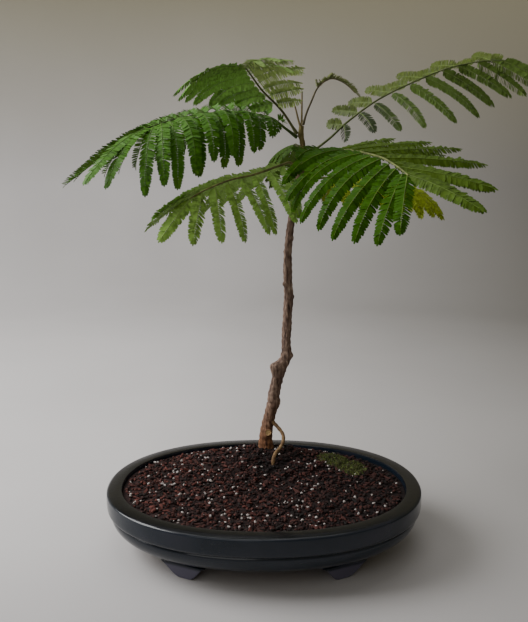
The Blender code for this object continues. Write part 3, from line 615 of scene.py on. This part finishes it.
def soil_height(x, y):
    """The soil's surface: heaped round the trunk, a little higher at the front left, and uneven."""
    trunk = TRUNK_ROUTE[0]
    near = min(1.0, max(0.0, (1 - plan_share(x, y)) / 0.25))
    near = near * near * (3 - 2 * near)
    heap = MOUND_HEIGHT * near * math.exp(
        -((x - trunk[0]) / MOUND_SPREAD[0]) ** 2 / 2 - ((y - trunk[1]) / MOUND_SPREAD[1]) ** 2 / 2)
    tilt = -SOIL_TILT * (x / POT_HALF_LENGTH + y / POT_HALF_WIDTH) / 2
    bumps = SOIL_RELIEF * (math.sin(x * 170 + 1) * math.cos(y * 210) + math.sin(x * 330 - y * 260))
    return SOIL_EDGE_Z + heap + tilt + bumps * near


def profile(points, steps):
    """A smooth line through (inset, height) points."""
    return [(p.x, p.z) for p in even_line([(inset, 0, z) for inset, z in points], steps)]


def pot():
    """The glazed shell on its bare clay foot ring, with its four bracket feet."""
    outside = profile(POT_OUTSIDE, 90)
    inside = profile(POT_INSIDE, 34)
    shell = Shape()
    stations = outside[::-1] + inside
    bare = [z < CLAY_TOP_Z and i < len(outside) for i, (_, z) in enumerate(stations)]
    shell.loft([oval(inset, z) for inset, z in stations], lambda r: 1 if bare[r] else 0)
    clay = mottled_material("bare_clay", (60, 36, 30), (104, 66, 52), 0.9, 0.2, (420, 5), (1500, 4), 0.0003)
    thing = shell.piece("glazed_pot", [glaze_material(), clay], 60)
    feet = [foot(f"pot_foot_{i}", sx, sy) for i, (sx, sy) in
            enumerate([(-1, -1), (1, -1), (-1, 1), (1, 1)])]
    for side in (-1, 1):
        drain(thing, side)
    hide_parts("pot")
    for piece in feet:
        piece.data.materials.append(thing.data.materials[0])


def drain(shell, side):
    """Cuts a drain hole through the pot's floor and applies the cut."""
    bpy.ops.mesh.primitive_cylinder_add(vertices=64, radius=DRAIN_RADIUS, depth=0.02,
                                        location=POT_PLACE + Vector((DRAIN_X * side, 0, BASE_Z + 0.004)))
    cutter = bpy.context.object
    hole = shell.modifiers.new("drain", "BOOLEAN")
    hole.operation = "DIFFERENCE"
    hole.object = cutter
    mesh = finished_mesh(shell)
    shell.modifiers.clear()
    shell.data = mesh
    bpy.data.objects.remove(cutter, do_unlink=True)


def foot(name, side_x, side_y):
    """One bracket foot with rounded edges, its long wing pointing to the pot's end."""
    outline = even_line([(u, 0, z) for u, z in FOOT_OUTLINE], 40)
    curve = bpy.data.curves.new(name, "CURVE")
    curve.dimensions = "2D"
    curve.fill_mode = "BOTH"
    curve.extrude = FOOT_DEPTH / 2 - FOOT_ROUNDING
    curve.bevel_depth = FOOT_ROUNDING
    curve.offset = -FOOT_ROUNDING
    curve.bevel_resolution = 4
    line = curve.splines.new("POLY")
    line.points.add(len(outline) - 1)
    line.use_cyclic_u = True
    for spot, p in zip(line.points, outline):
        spot.co = (p.x * side_x, max(p.z, 0), 0, 1)
    guide = placed(name + "_line", curve)
    mesh = finished_mesh(guide)
    bpy.data.objects.remove(guide, do_unlink=True)
    place = (Matrix.Translation(POT_PLACE + Vector((FOOT_X * side_x, FOOT_Y * side_y, 0)))
             @ Matrix.Rotation(-FOOT_TURN * side_x * side_y, 4, "Z") @ Matrix.Rotation(math.pi / 2, 4, "X"))
    mesh.transform(place)
    mesh.shade_smooth()
    mesh.set_sharp_from_angle(angle=math.radians(50))
    thing = placed(name, mesh)
    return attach(thing, "root")


def stone_forms(rng, count):
    """Rough pebble forms: the corners and faces of an uneven icosahedron."""
    golden = (1 + math.sqrt(5)) / 2
    flat = [(a, b * golden, 0) for b in (1, -1) for a in (-1, 1)]
    corners = [Vector((*c[3 - axis:], *c[:3 - axis])).normalized() for axis in range(3) for c in flat]
    faces = [(a, b, c) for a in range(12) for b in range(a + 1, 12) for c in range(b + 1, 12)
             if all((corners[p] - corners[q]).length < 1.1 for p, q in ((a, b), (b, c), (a, c)))]
    faces = [(a, b, c) if (corners[b] - corners[a]).cross(corners[c] - corners[a]).dot(corners[a]) > 0
             else (c, b, a) for a, b, c in faces]
    return [([c * rng.uniform(0.72, 1.18) for c in corners], faces) for _ in range(count)]


def scatter(shape, rng, forms, count, sizes, flatness, lift, slots, fade=0.0):
    """Strews stones over the soil, turned at random and partly sunk, and fewer to the right by the fade."""
    trunk = Vector(TRUNK_ROUTE[0])
    strewn = 0
    while strewn < count:
        x = rng.uniform(-POT_HALF_LENGTH, POT_HALF_LENGTH)
        y = rng.uniform(-POT_HALF_WIDTH, POT_HALF_WIDTH)
        if plan_share(x, y) > STREWN_REACH or (Vector((x, y)) - trunk.xy).length < STREWN_CLEARANCE:
            continue
        if fade and rng.random() < fade * (x / POT_HALF_LENGTH + 1) / 2:
            continue
        strewn += 1
        corners, faces = rng.choice(forms)
        size = rng.uniform(*sizes)
        stretch = Matrix.Diagonal((size * rng.uniform(0.9, 1.3), size * rng.uniform(0.7, 1.0) * flatness[0],
                                   size * rng.uniform(0.7, 1.0) * flatness[1]))
        tip = rng.uniform(-0.5, 0.5)
        turn = (Matrix.Rotation(rng.uniform(0, 2 * math.pi), 3, "Z") @ Matrix.Rotation(tip, 3, "X")
                @ Matrix.Rotation(rng.uniform(-0.5, 0.5), 3, "Y") @ stretch)
        place = Vector((x, y, soil_height(x, y) + size * flatness[1] * lift))
        shape.add([turn @ c + place for c in corners], faces, [rng.choice(slots)] * len(faces))


def soil():
    """The soil's filling with its crumbs, bark chips and perlite."""
    rng = random.Random(7)
    shape = Shape()
    rings = [oval(inset, z, SOIL_SIDES) for inset, z in SOIL_WALL]
    edge = oval(POT_INSIDE[2][0] + SOIL_GAP, 0, SOIL_SIDES)
    for r in range(SOIL_RINGS):
        share = 1 - r / SOIL_RINGS
        ring = []
        for p in edge:
            x, y = p.x * share, p.y * share
            fine = noise.noise(Vector((x, y, 0)) * 260) * 0.0009
            broad = noise.noise(Vector((x, y, 1)) * 90) * 0.001
            ring.append(Vector((x, y, soil_height(x, y) + (fine + broad) * min(1, r / 3) - 0.0006)))
        rings.append(ring)
    shape.loft(rings)
    forms = stone_forms(rng, 14)
    scatter(shape, rng, forms, GRAINS, GRAIN_SIZES, (1.0, 0.8), 0.25, (0, 0, 1, 1, 2, 3))
    scatter(shape, rng, forms, CHIPS, CHIP_SIZES, (0.5, 0.3), 0.7, (1, 2, 2, 3))
    scatter(shape, rng, forms, PERLITE, PERLITE_SIZES, (1.0, 0.9), 1.1, (4,), PERLITE_FADE)
    materials = [
        earth_material("soil_dark", (25, 16, 15), (50, 33, 31)),
        earth_material("soil_brown", (46, 27, 24), (82, 51, 46)),
        earth_material("bark_chips", (62, 32, 28), (106, 58, 50), 0.8),
        earth_material("soil_black", (18, 13, 11), (36, 26, 22), 0.75),
        mottled_material("perlite", (136, 128, 124), (200, 192, 188), 0.95, 0.2, (700, 3), (2600, 3), 0.0003,
                         0.8),
    ]
    bed = shape.piece("soil_bed", materials, 25)
    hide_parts("soil")


def moss_reach(t):
    """How far the mat reaches from its centre, at the angle t."""
    return MOSS_MEAN_RADIUS + MOSS_WAIST * math.cos(2 * (t + MOSS_TURN)) + MOSS_WAVE * math.sin(5 * t)


def moss_outline(share):
    points = []
    for t in circle(MOSS_SIDES):
        ragged = 1 + 0.1 * noise.noise(Vector((math.cos(t), math.sin(t), 0)) * 5)
        reach = moss_reach(t) * (share * min(1, ragged))
        points.append(Vector((MOSS_CENTRE.x + reach * math.cos(t), MOSS_CENTRE.y + reach * math.sin(t), 0)))
    return points


def moss_height(x, y, share):
    lumps = 0.0011 * math.sin(x * 520) * math.cos(y * 480) + 0.0006 * math.sin(x * 900 + y * 700)
    crumbs = 0.0007 * noise.noise(Vector((x, y, 0)) * 420)
    return soil_height(x, y) + MOSS_THICK * (1 - share**3) + lumps + crumbs


def moss():
    """A low two-lobed mat of moss, with its shoots."""
    rng = random.Random(11)
    shape = Shape()
    rings = [[Vector((p.x, p.y, MOSS_BED_Z)) for p in moss_outline(1.0)]]
    for r in range(MOSS_RINGS):
        share = 1 - r / MOSS_RINGS
        rings.append([Vector((p.x, p.y, moss_height(p.x, p.y, share) - 0.0004)) for p in moss_outline(share)])
    shape.loft(rings)
    for _ in range(MOSS_SHOOTS):
        t = rng.uniform(0, 2 * math.pi)
        share = math.sqrt(rng.uniform(0, 1)) * 0.99
        reach = moss_reach(t) * share
        x = MOSS_CENTRE.x + reach * math.cos(t)
        y = MOSS_CENTRE.y + reach * math.sin(t)
        foot_place = Vector((x, y, moss_height(x, y, share) - 0.0007))
        lean = Vector((rng.gauss(0, 0.5), rng.gauss(0, 0.5), 1)).normalized()
        tall, wide, turn = rng.uniform(*SHOOT_HEIGHTS), rng.uniform(*SHOOT_WIDTHS), rng.uniform(0, 6.3)
        base = [foot_place + Vector((math.cos(turn + a), math.sin(turn + a), 0)) * wide
                for a in (0, 2.1, 4.2)]
        shape.add(base + [foot_place + lean * tall], [(0, 1, 3), (1, 2, 3), (2, 0, 3), (2, 1, 0)],
                  [rng.choice((0, 1, 1, 2))] * 4)
    kinds = (("moss_olive", (36, 36, 20), (84, 88, 42)), ("moss_green", (62, 74, 28), (116, 132, 58)),
             ("moss_brown", (44, 34, 24), (86, 70, 46)))
    materials = [mottled_material(*kind, 0.9, 0.2, (300, 4), (1400, 3), 0.0004, sheen=0.2) for kind in kinds]
    mat = shape.piece("moss_mat", materials, 30)
    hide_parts("moss")


def towards(points, place):
    """The trunk's point nearest to a place, and the way from it to the place."""
    place = Vector(place)
    axis = min(points, key=lambda p: (p.xyz - place).length)
    return axis, place - axis.xyz


def swellings(points):
    """Bumps on the trunk: (centre on the bark, reach, rise)."""
    rng = random.Random(3)
    bumps = []
    for centre, radius in KNOBS:
        axis, out = towards(points, centre)
        bumps.append((axis.xyz + out.normalized() * axis.w, radius, out.length + radius - axis.w))
    for i in range(LEAF_SCARS):
        axis = points[round(len(points) * (0.12 + 0.82 * i / LEAF_SCARS))]
        turn = 2.4 * i + rng.uniform(-0.4, 0.4)
        out = Vector((math.cos(turn), math.sin(turn), 0))
        bumps.append((axis.xyz + out * axis.w, LEAF_SCAR_REACH, rng.uniform(*LEAF_SCAR_RISE)))
    for spec in FRONDS.values():
        axis, out = towards(points, spec["route"][0])
        bumps.append((axis.xyz + out.normalized() * axis.w, CUSHION_REACH, CUSHION_RISE))
    return bumps


def trunk_skin(shape):
    """The trunk with its fissured bark, knobs and leaf scars."""
    points = even_line(TRUNK_ROUTE, TRUNK_RINGS)
    bumps = swellings(points)
    rings = []
    for (place, _, aside, other), point in zip(turning_frames([p.xyz for p in points]), points):
        near = [b for b in bumps if abs(b[0].z - place.z) < 3 * b[1]]
        ring = []
        for t in circle(TRUNK_SIDES):
            out = aside * math.cos(t) + other * math.sin(t)
            skin = place + out * point.w
            flutes = 0.05 * math.sin(3 * t + place.z * 60) + 0.04 * math.sin(place.z * 900)
            crust = noise.noise(Vector((skin.x * 420, skin.y * 420, skin.z * 110)))
            crust += 0.6 * noise.noise(Vector((skin.x * 900, skin.y * 900, skin.z * 420)))
            rough = point.w * (flutes + 0.075 * crust)
            for centre, reach, rise in near:
                rough += rise * math.exp(-1.3 * ((skin - centre).length / reach) ** 2)
            ring.append(place + out * (point.w + rough))
        rings.append(ring)
    shape.loft(rings)


def cut_scar(shape):
    """The stump of a cut branch: a callus ring round a pale sunk face."""
    out = Vector((0, -1, 0.3)).normalized()
    face = SCAR_CENTRE + Vector((0, -0.0022, 0.0008))
    side = Vector((1, 0, 0))
    up = out.cross(side)
    rings = [[face + out * depth + (side * math.cos(t) + up * math.sin(t)) * (SCAR_RADIUS * share)
              * (1 + 0.06 * math.sin(3 * t + 1)) for t in circle(SCAR_SIDES)]
             for depth, share in SCAR_PROFILE]
    shape.loft(rings, lambda r: 1 if r >= len(SCAR_PROFILE) - 2 else 0)


def air_root(shape):
    points = even_line(AIR_ROOT, AIR_ROOT_STEPS)
    radii = []
    for i, p in enumerate(points):
        knots = 1 + 0.1 * noise.noise(p * 260) + 0.05 * math.sin(i * 0.9)
        flare = 1 + 0.5 * math.exp(-i / 5)
        radii.append(AIR_ROOT_RADIUS * knots * flare)
    shape.tube(points, radii, 14, 2)


def shoot_tips(shape, rng):
    """The two young shoots at the top, each with a few folded leaflets."""
    for control in YOUNG_SHOOTS:
        points = even_line(control, SHOOT_STEPS)
        shape.tube(points, [0.0012 - 0.0005 * i / SHOOT_STEPS for i in range(SHOOT_STEPS + 1)], 10, 3)
        tip, before = points[-1], points[-3]
        along = (tip - before).normalized()
        for k in range(9):
            out = turned(along.orthogonal().normalized(), along, 2.4 * k)
            reach = (along * 0.9 + out * 0.45).normalized()
            leaflet(shape, tip - along * (0.0002 * k), reach, along.cross(out).normalized(), out,
                    0.0026 * rng.uniform(0.8, 1.1), 0.0009, (4, 4))


def trunk():
    shape = Shape()
    trunk_skin(shape)
    cut_scar(shape)
    air_root(shape)
    shoot_tips(shape, random.Random(5))
    cut_wood = mottled_material("cut_wood", (150, 118, 76), (206, 178, 130), 0.8, 0.25, (900, 4), (1500, 3),
                                0.0002, 0.6)
    root = mottled_material("air_root", (86, 62, 40), (142, 114, 78), 0.75, 0.3, (380, 5, (1, 1, 0.5)),
                            (900, 4), 0.0003)
    materials = [bark_material(), cut_wood, root, stalk_material("shoot_stalk", (104, 92, 60)),
                 leaf_material("shoot_leaf", (100, 108, 60))]
    thing = shape.piece("trunk_bark", materials, 50)
    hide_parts("trunk")


def between(values, t):
    """A value at the share t of the way along evenly spaced values."""
    at = t * (len(values) - 1)
    k = min(int(at), len(values) - 2)
    return values[k] + (values[k + 1] - values[k]) * (at - k)


def turned(vector, axis, angle):
    return Matrix.Rotation(angle, 3, axis) @ vector


def pinna_frames(frond):
    """Yields each pinna's side, length, and points with the directions along, across and out of its blade."""
    line = even_line(frond["route"], ROUTE_STEPS)
    for i in range(frond["pairs"]):
        t = i / (frond["pairs"] - 1)
        at = frond["bare"] + (1 - frond["bare"]) * (1 - (1 - t) ** CROWDING)
        k = min(round(at * ROUTE_STEPS), ROUTE_STEPS - 1)
        stalk = (line[min(k + 2, ROUTE_STEPS)] - line[max(k - 2, 0)]).normalized()
        for side, name in ((-1, "left"), (1, "right")):
            sweep = math.radians(between(frond[name], t)) + WOBBLE * math.sin(2.4 * i + side)
            droop = math.radians(between(frond[name + "_droop"], t)) * (1 + 0.1 * math.sin(3.1 * i - side))
            roof = math.radians(between(frond["roof"], t)) + LAYERING * (-1) ** i
            length = between(frond["length"], t)
            out = turned(stalk.cross(UP).normalized() * side, stalk, math.radians(between(frond["roll"], t)))
            up = out.cross(stalk).normalized() * side
            along = stalk * math.cos(sweep) + (out * math.cos(roof) - up * math.sin(roof)) * math.sin(sweep)
            across = (stalk - along * stalk.dot(along)).normalized()
            across = turned(across, along, math.radians(frond["turn"][0 if side < 0 else 1]))
            hinge = UP.cross(Vector((along.x, along.y, 0))).normalized()
            place, frames = line[k].copy(), []
            for step in range(PINNA_STEPS + 1):
                angle = droop * step / PINNA_STEPS
                d, w = turned(along, hinge, angle), turned(across, hinge, angle)
                normal = d.cross(w) * -side
                frames.append((place.copy(), d, w, normal if normal.dot(up) > 0 else -normal))
                place += turned(along, hinge, droop * (step + 0.5) / PINNA_STEPS) * (length / PINNA_STEPS)
            yield name, length, frames


def frame_at(frames, share):
    """The place and the directions of a pinna's blade at a share of its length."""
    at = share * (len(frames) - 1)
    k = min(int(at), len(frames) - 2)
    place, *directions = (a.lerp(b, at - k) for a, b in zip(frames[k], frames[k + 1]))
    return place, *(d.normalized() for d in directions)


def leaflet(shape, root, along, wide, out, length, width, slots):
    """One oblong leaflet: a thin closed blade, creased along its midrib."""
    points = [root]
    for u, w in LEAFLET_OUTLINE:
        spine = root + along * (length * u) - out * (LEAFLET_BOW * length * u * u)
        half = wide * (width * w / 2)
        crease = out * (width * LEAFLET_CREASE * w)
        thick = out * (LEAFLET_THICK / 2)
        points += [spine - half, spine - crease + thick, spine + half, spine - crease - thick]
    points.append(root + along * length - out * (LEAFLET_BOW * length))
    last, top, under = len(points) - 1, [], []
    for low, high in zip(range(1, last, 4), range(5, last, 4)):
        top += [(low, high, high + 1, low + 1), (low + 1, high + 1, high + 2, low + 2)]
        under += [(low + 3, high + 3, high, low), (low + 2, high + 2, high + 3, low + 3)]
    end = last - 4
    top += [(0, 1, 2), (0, 2, 3), (end + 1, end, last), (end + 2, end + 1, last)]
    under += [(0, 4, 1), (0, 3, 4), (end, end + 3, last), (end + 3, end + 2, last)]
    if along.cross(wide).dot(out) > 0:
        top, under = [f[::-1] for f in top], [f[::-1] for f in under]
    shape.add(points, top + under, [slots[0]] * len(top) + [slots[1]] * len(under))


def fine_pinna(shape, rng, length, frames, share, spacing, pose, slots):
    """A side stalk with its two rows of leaflets."""
    line = [frame_at(frames, k / RIB_STEPS)[0] for k in range(RIB_STEPS + 1)]
    radii = [between(RIB_RADIUS, k / RIB_STEPS) * max(share, 0.6) for k in range(RIB_STEPS + 1)]
    shape.tube(line, radii, 6, 5)
    foot_length = BARE_FOOT * (1 if share > 0.5 else 0.3)
    count = max(3, round((length - foot_length) / spacing))
    for j in range(count):
        at = (foot_length + (length - foot_length) * (j + 0.5) / count) / length
        place, along, across, out = frame_at(frames, at)
        taper = (1 - 0.3 * at**4 - 0.18 * at**12) * (FIRST_LEAFLETS[j] if j < len(FIRST_LEAFLETS) else 1)
        for sign in (-1, 1):
            lean = LEAFLET_LEAN + LEAFLET_TIP_LEAN * at**8 + rng.gauss(0, 0.05)
            fold = math.radians(pose[0]) + rng.gauss(0, 0.07)
            flat = across * (sign * math.cos(lean)) + along * math.sin(lean)
            reach = flat * math.cos(fold) - out * math.sin(fold)
            facing = out.lerp(UP, pose[1] if sign < 0 else pose[2])
            face_out = turned((facing - reach * facing.dot(reach)).normalized(), reach, rng.gauss(0, 0.12))
            wide = reach.cross(face_out).normalized()
            long = LEAFLET_LENGTH * share * taper * rng.uniform(0.94, 1.04)
            leaflet(shape, place + out * 0.0001, reach, wide, face_out, long,
                    LEAFLET_WIDTH * share * (0.86 + 0.14 * taper), slots)
    place, along, across, out = frame_at(frames, 1.0)
    leaflet(shape, place, along, across, out, LEAFLET_LENGTH * share * 0.55,
            LEAFLET_WIDTH * share * 0.6, slots)


def bristles(shape, rng, line, slots):
    """Folded leaflets that stand like a comb along the young frond's bent end."""
    for i in range(round(BRISTLES_FROM * len(line)), len(line) - 1):
        along = (line[i + 1] - line[i]).normalized()
        side = along.cross(UP).normalized()
        up = side.cross(along)
        for turn in BRISTLE_TURNS:
            out = turned(up, along, math.radians(turn + rng.gauss(0, 8)))
            reach = (out + along * rng.uniform(0.2, 0.6)).normalized()
            root = line[i].lerp(line[i + 1], rng.random())
            length = BRISTLE_LENGTH * rng.uniform(0.6, 1.1)
            leaflet(shape, root, reach, along, along.cross(out).normalized(), length, BRISTLE_WIDTH, slots)


def fine_frond(name, spec):
    """A stalk with a knee at the trunk, and its pinnae."""
    rng = random.Random(name)
    young = name == "frond_young"
    shape = Shape()
    line = even_line(spec["route"], STALK_STEPS)
    points = [line[0] + (line[0] - line[1]).normalized() * STALK_SUNK, *line]
    knee = STALK_KNEE - STALK_RADIUS[0]
    thin = YOUNG_THINNESS if young else 1
    radii = [(between(STALK_RADIUS, i / (len(points) - 1)) + knee * math.exp(-((i - 1) / 3.5) ** 2)) * thin
             for i in range(len(points))]
    shape.tube(points, radii, 12, 2)
    if young:
        bristles(shape, rng, line, (0, 1))
    share, left_pose, right_pose, top, under, stalk = LEAFLETS[name]
    spacing = YOUNG_SPACING if young else LEAFLET_SPACING * share
    for side, length, frames in pinna_frames(spec):
        pose, slots = (left_pose, (3, 4)) if side == "left" else (right_pose, (0, 1))
        fine_pinna(shape, rng, length, frames, share, spacing, pose, slots)
    gloss = 0.04 if name == "frond_lower_right" else 0.12
    shaded = POT_PLACE.x + SHADED_X if name == "frond_upper_right" else None
    right = leaf_pair(name, (top, under), gloss, shaded)
    left = leaf_pair(name + "_left", LEFT_SIDE_COLOURS[name], gloss) if name in LEFT_SIDE_COLOURS else right
    rib = tuple((3 * a + b) / 4 for a, b in zip(under, stalk))
    materials = [*right, stalk_material(name + "_stalk", stalk), *left, stalk_material(name + "_rib", rib)]
    thing = shape.piece(name + "_leaflets", materials, 60)
    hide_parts(name)


def studio():
    """A pale floor that curves up into a wall all round, with soft light from above and the left, and painted
    shade.
    """
    stations = [(0.02, 0), (0.4, 0), (0.9, 0), (FLOOR_RADIUS, 0)]
    for k in range(1, BEND_STEPS + 1):
        t = math.pi / 2 * k / BEND_STEPS
        stations.append((FLOOR_RADIUS + FLOOR_BEND * math.sin(t), FLOOR_BEND * (1 - math.cos(t))))
    stations.append((FLOOR_RADIUS + FLOOR_BEND, WALL_TOP))
    sides = BACKDROP_SIDES
    points = [Vector((r * math.cos(t), r * math.sin(t), z)) for r, z in stations for t in circle(sides)]
    faces = [face for r in range(len(stations) - 1) for face in band(r * sides, sides)]
    faces.append(tuple(range(sides - 1, -1, -1)))
    mesh = bpy.data.meshes.new("floor")
    mesh.from_pydata(points, [], [f[::-1] for f in faces])
    mesh.shade_smooth()
    floor = placed("floor", mesh)
    paper = Material("pale_floor", 0.7, 0.2)
    plain = paper.ramp(paper.noise(3, 2), (0.3, (196, 193, 192)), (0.7, (202, 199, 198)))
    # Painted shade: the backdrop darkens to the right, at the front and towards the top of the wall
    right = paper.mix(paper.range(paper.along("X"), -0.25, 0.9), plain, (118, 115, 108))
    front = paper.mix(paper.range(paper.along("Y"), -0.05, -0.5), right, (140, 136, 137))
    paper.colour(paper.mix(paper.range(paper.along("Z"), 0.35, 1.1), front, (150, 144, 118)))
    floor.data.materials.append(paper.made)

    for name, place, size, power in LIGHTS:
        light = bpy.data.lights.new(name, "AREA")
        light.size = size
        light.energy = power
        lamp = placed(name, light)
        lamp.location = place
        lamp.rotation_euler = (Vector((0, 0, 0.2)) - Vector(place)).to_track_quat("-Z", "Y").to_euler()

    world = bpy.data.worlds.new("studio_air")
    world.use_nodes = True
    air = world.node_tree.nodes["Background"]
    air.inputs["Color"].default_value = AIR_COLOUR
    air.inputs["Strength"].default_value = AIR_STRENGTH
    bpy.context.scene.world = world


def camera():
    lens = bpy.data.cameras.new("camera")
    lens.sensor_fit = "VERTICAL"
    lens.sensor_height = CAMERA_SENSOR
    lens.lens = CAMERA_LENS
    lens.clip_start = 0.02
    eye = placed("camera", lens)
    eye.location = POT_PLACE + CAMERA_PLACE
    eye.rotation_euler = (math.pi / 2 - CAMERA_PITCH, 0, 0)
    bpy.context.scene.camera = eye


def screens():
    plastic = mottled_material("mesh_plastic", (22, 22, 24), (38, 38, 40), 0.55, 0.5, (300, 3), (1200, 2),
                               0.0001, 0.5)
    for name in ("drain_screen_left", "drain_screen_right"):
        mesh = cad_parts[name].data
        mesh.materials.clear()
        mesh.materials.append(plastic)


camera()
studio()
pot()
screens()
soil()
moss()
trunk()
for frond_name, frond_spec in FRONDS.items():
    fine_frond(frond_name, frond_spec)
